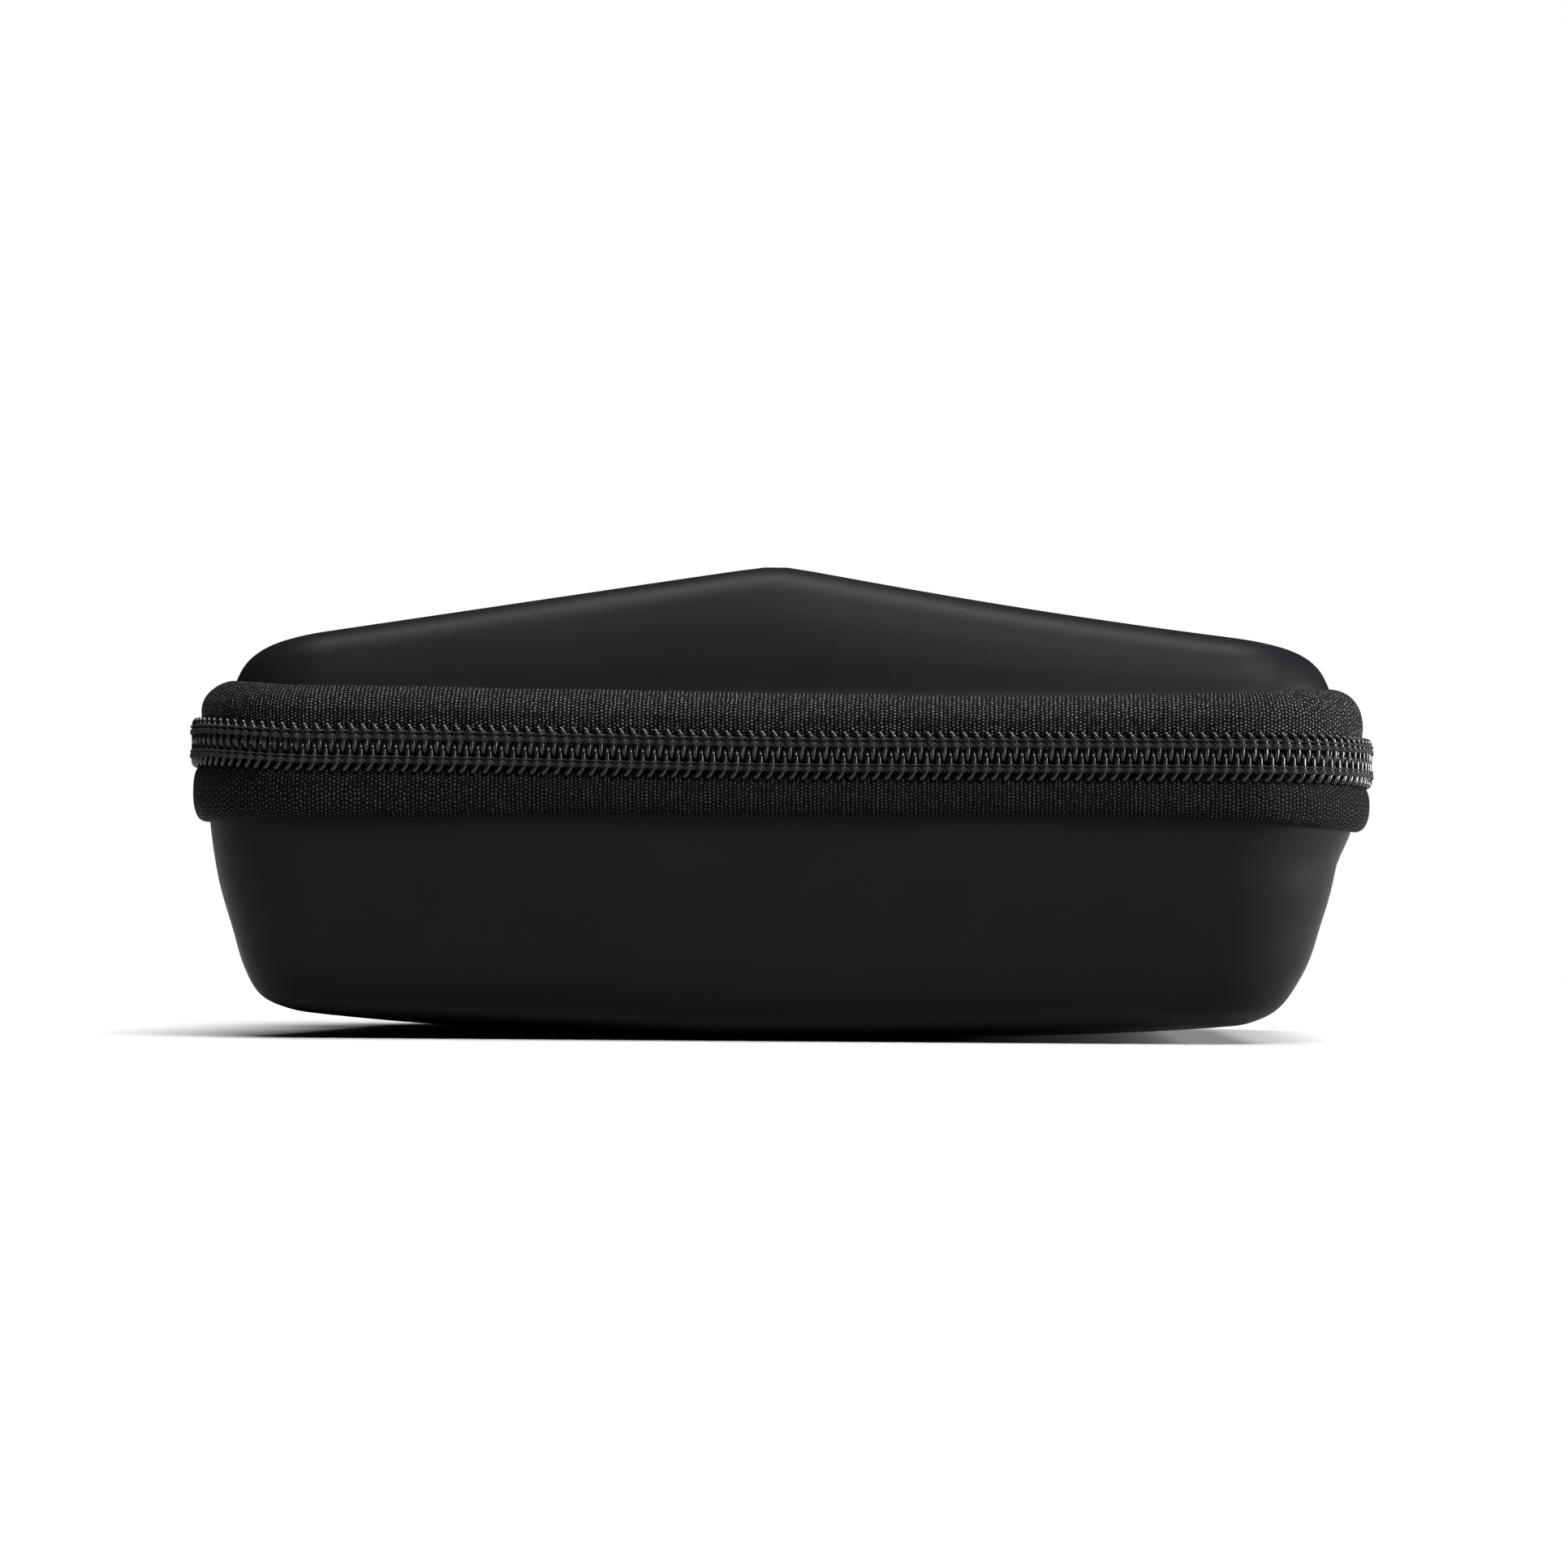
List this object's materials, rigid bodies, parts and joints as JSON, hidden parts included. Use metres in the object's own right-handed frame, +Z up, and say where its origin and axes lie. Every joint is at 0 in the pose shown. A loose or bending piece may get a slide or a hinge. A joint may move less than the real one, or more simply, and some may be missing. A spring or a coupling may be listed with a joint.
{
  "type": "headphone carrying case",
  "caption": "Zip-round moulded carrying case for headphones: domed lid on a fabric hinge, lined tub, coil zip with sliding pull, net pocket and foam divider.",
  "frame": {"origin": "centre of the flat middle of the underside, on the surface the case stands on", "axes": "+X to the case's right seen from the front, +Y towards the fabric hinge at the rear, +Z up"},
  "size_m": [0.2155, 0.204, 0.0824],
  "materials": {
    "shell_skin": "matte soft-touch black",
    "zip_fabric": "woven black tape",
    "lining_fabric": "brushed dark grey lining",
    "coil_nylon": "satin black nylon",
    "slider_metal": "black plated zinc",
    "tab_rubber": "matt black moulded rubber",
    "hook_and_loop": "black hook and loop",
    "net": "black elastic net"
  },
  "bodies": {
    "tub": {"base_shell": "shell_skin", "base_lining": "lining_fabric", "base_zip_tape": "zip_fabric", "base_zip_coil": "coil_nylon", "base_seam_binding": "zip_fabric", "hinge_panel": "zip_fabric", "divider_loop_patch": "hook_and_loop", "divider_hook_patch": "hook_and_loop", "foam_divider": "lining_fabric"},
    "lid": {"lid_shell": "shell_skin", "lid_lining": "lining_fabric", "lid_zip_tape": "zip_fabric", "lid_zip_coil": "coil_nylon", "lid_seam_binding": "zip_fabric", "mesh_pocket": "net", "pocket_seam_tape": "zip_fabric", "pocket_elastic": "zip_fabric"},
    "slider": {"slider_body": "slider_metal", "slider_bridge": "slider_metal"},
    "ring": {"pull_ring": "slider_metal"},
    "tab": {"pull_tab": "tab_rubber"}
  },
  "joints": [
    {"name": "lid_hinge", "type": "hinge", "parent": "tub", "child": "lid", "pos_m": [0, 0.102, 0.0484], "axis": [-1, 0, 0], "range_deg": [0, 170], "deforming": ["hinge_panel"]},
    {"name": "slider_run", "type": "slide", "parent": "tub", "child": "slider", "axis": [0, -1, 0], "range_m": [0, 0.1]},
    {"name": "ring_swing", "type": "hinge", "parent": "slider", "child": "ring", "pos_m": [-0.10885, 0.04, 0.0484], "axis": [0, 1, 0], "range_deg": [0, 90]},
    {"name": "tab_swing", "type": "hinge", "parent": "ring", "child": "tab", "pos_m": [-0.10885, 0.04, 0.04375], "axis": [1, 0, 0], "range_deg": [-45, 45]}
  ]
}
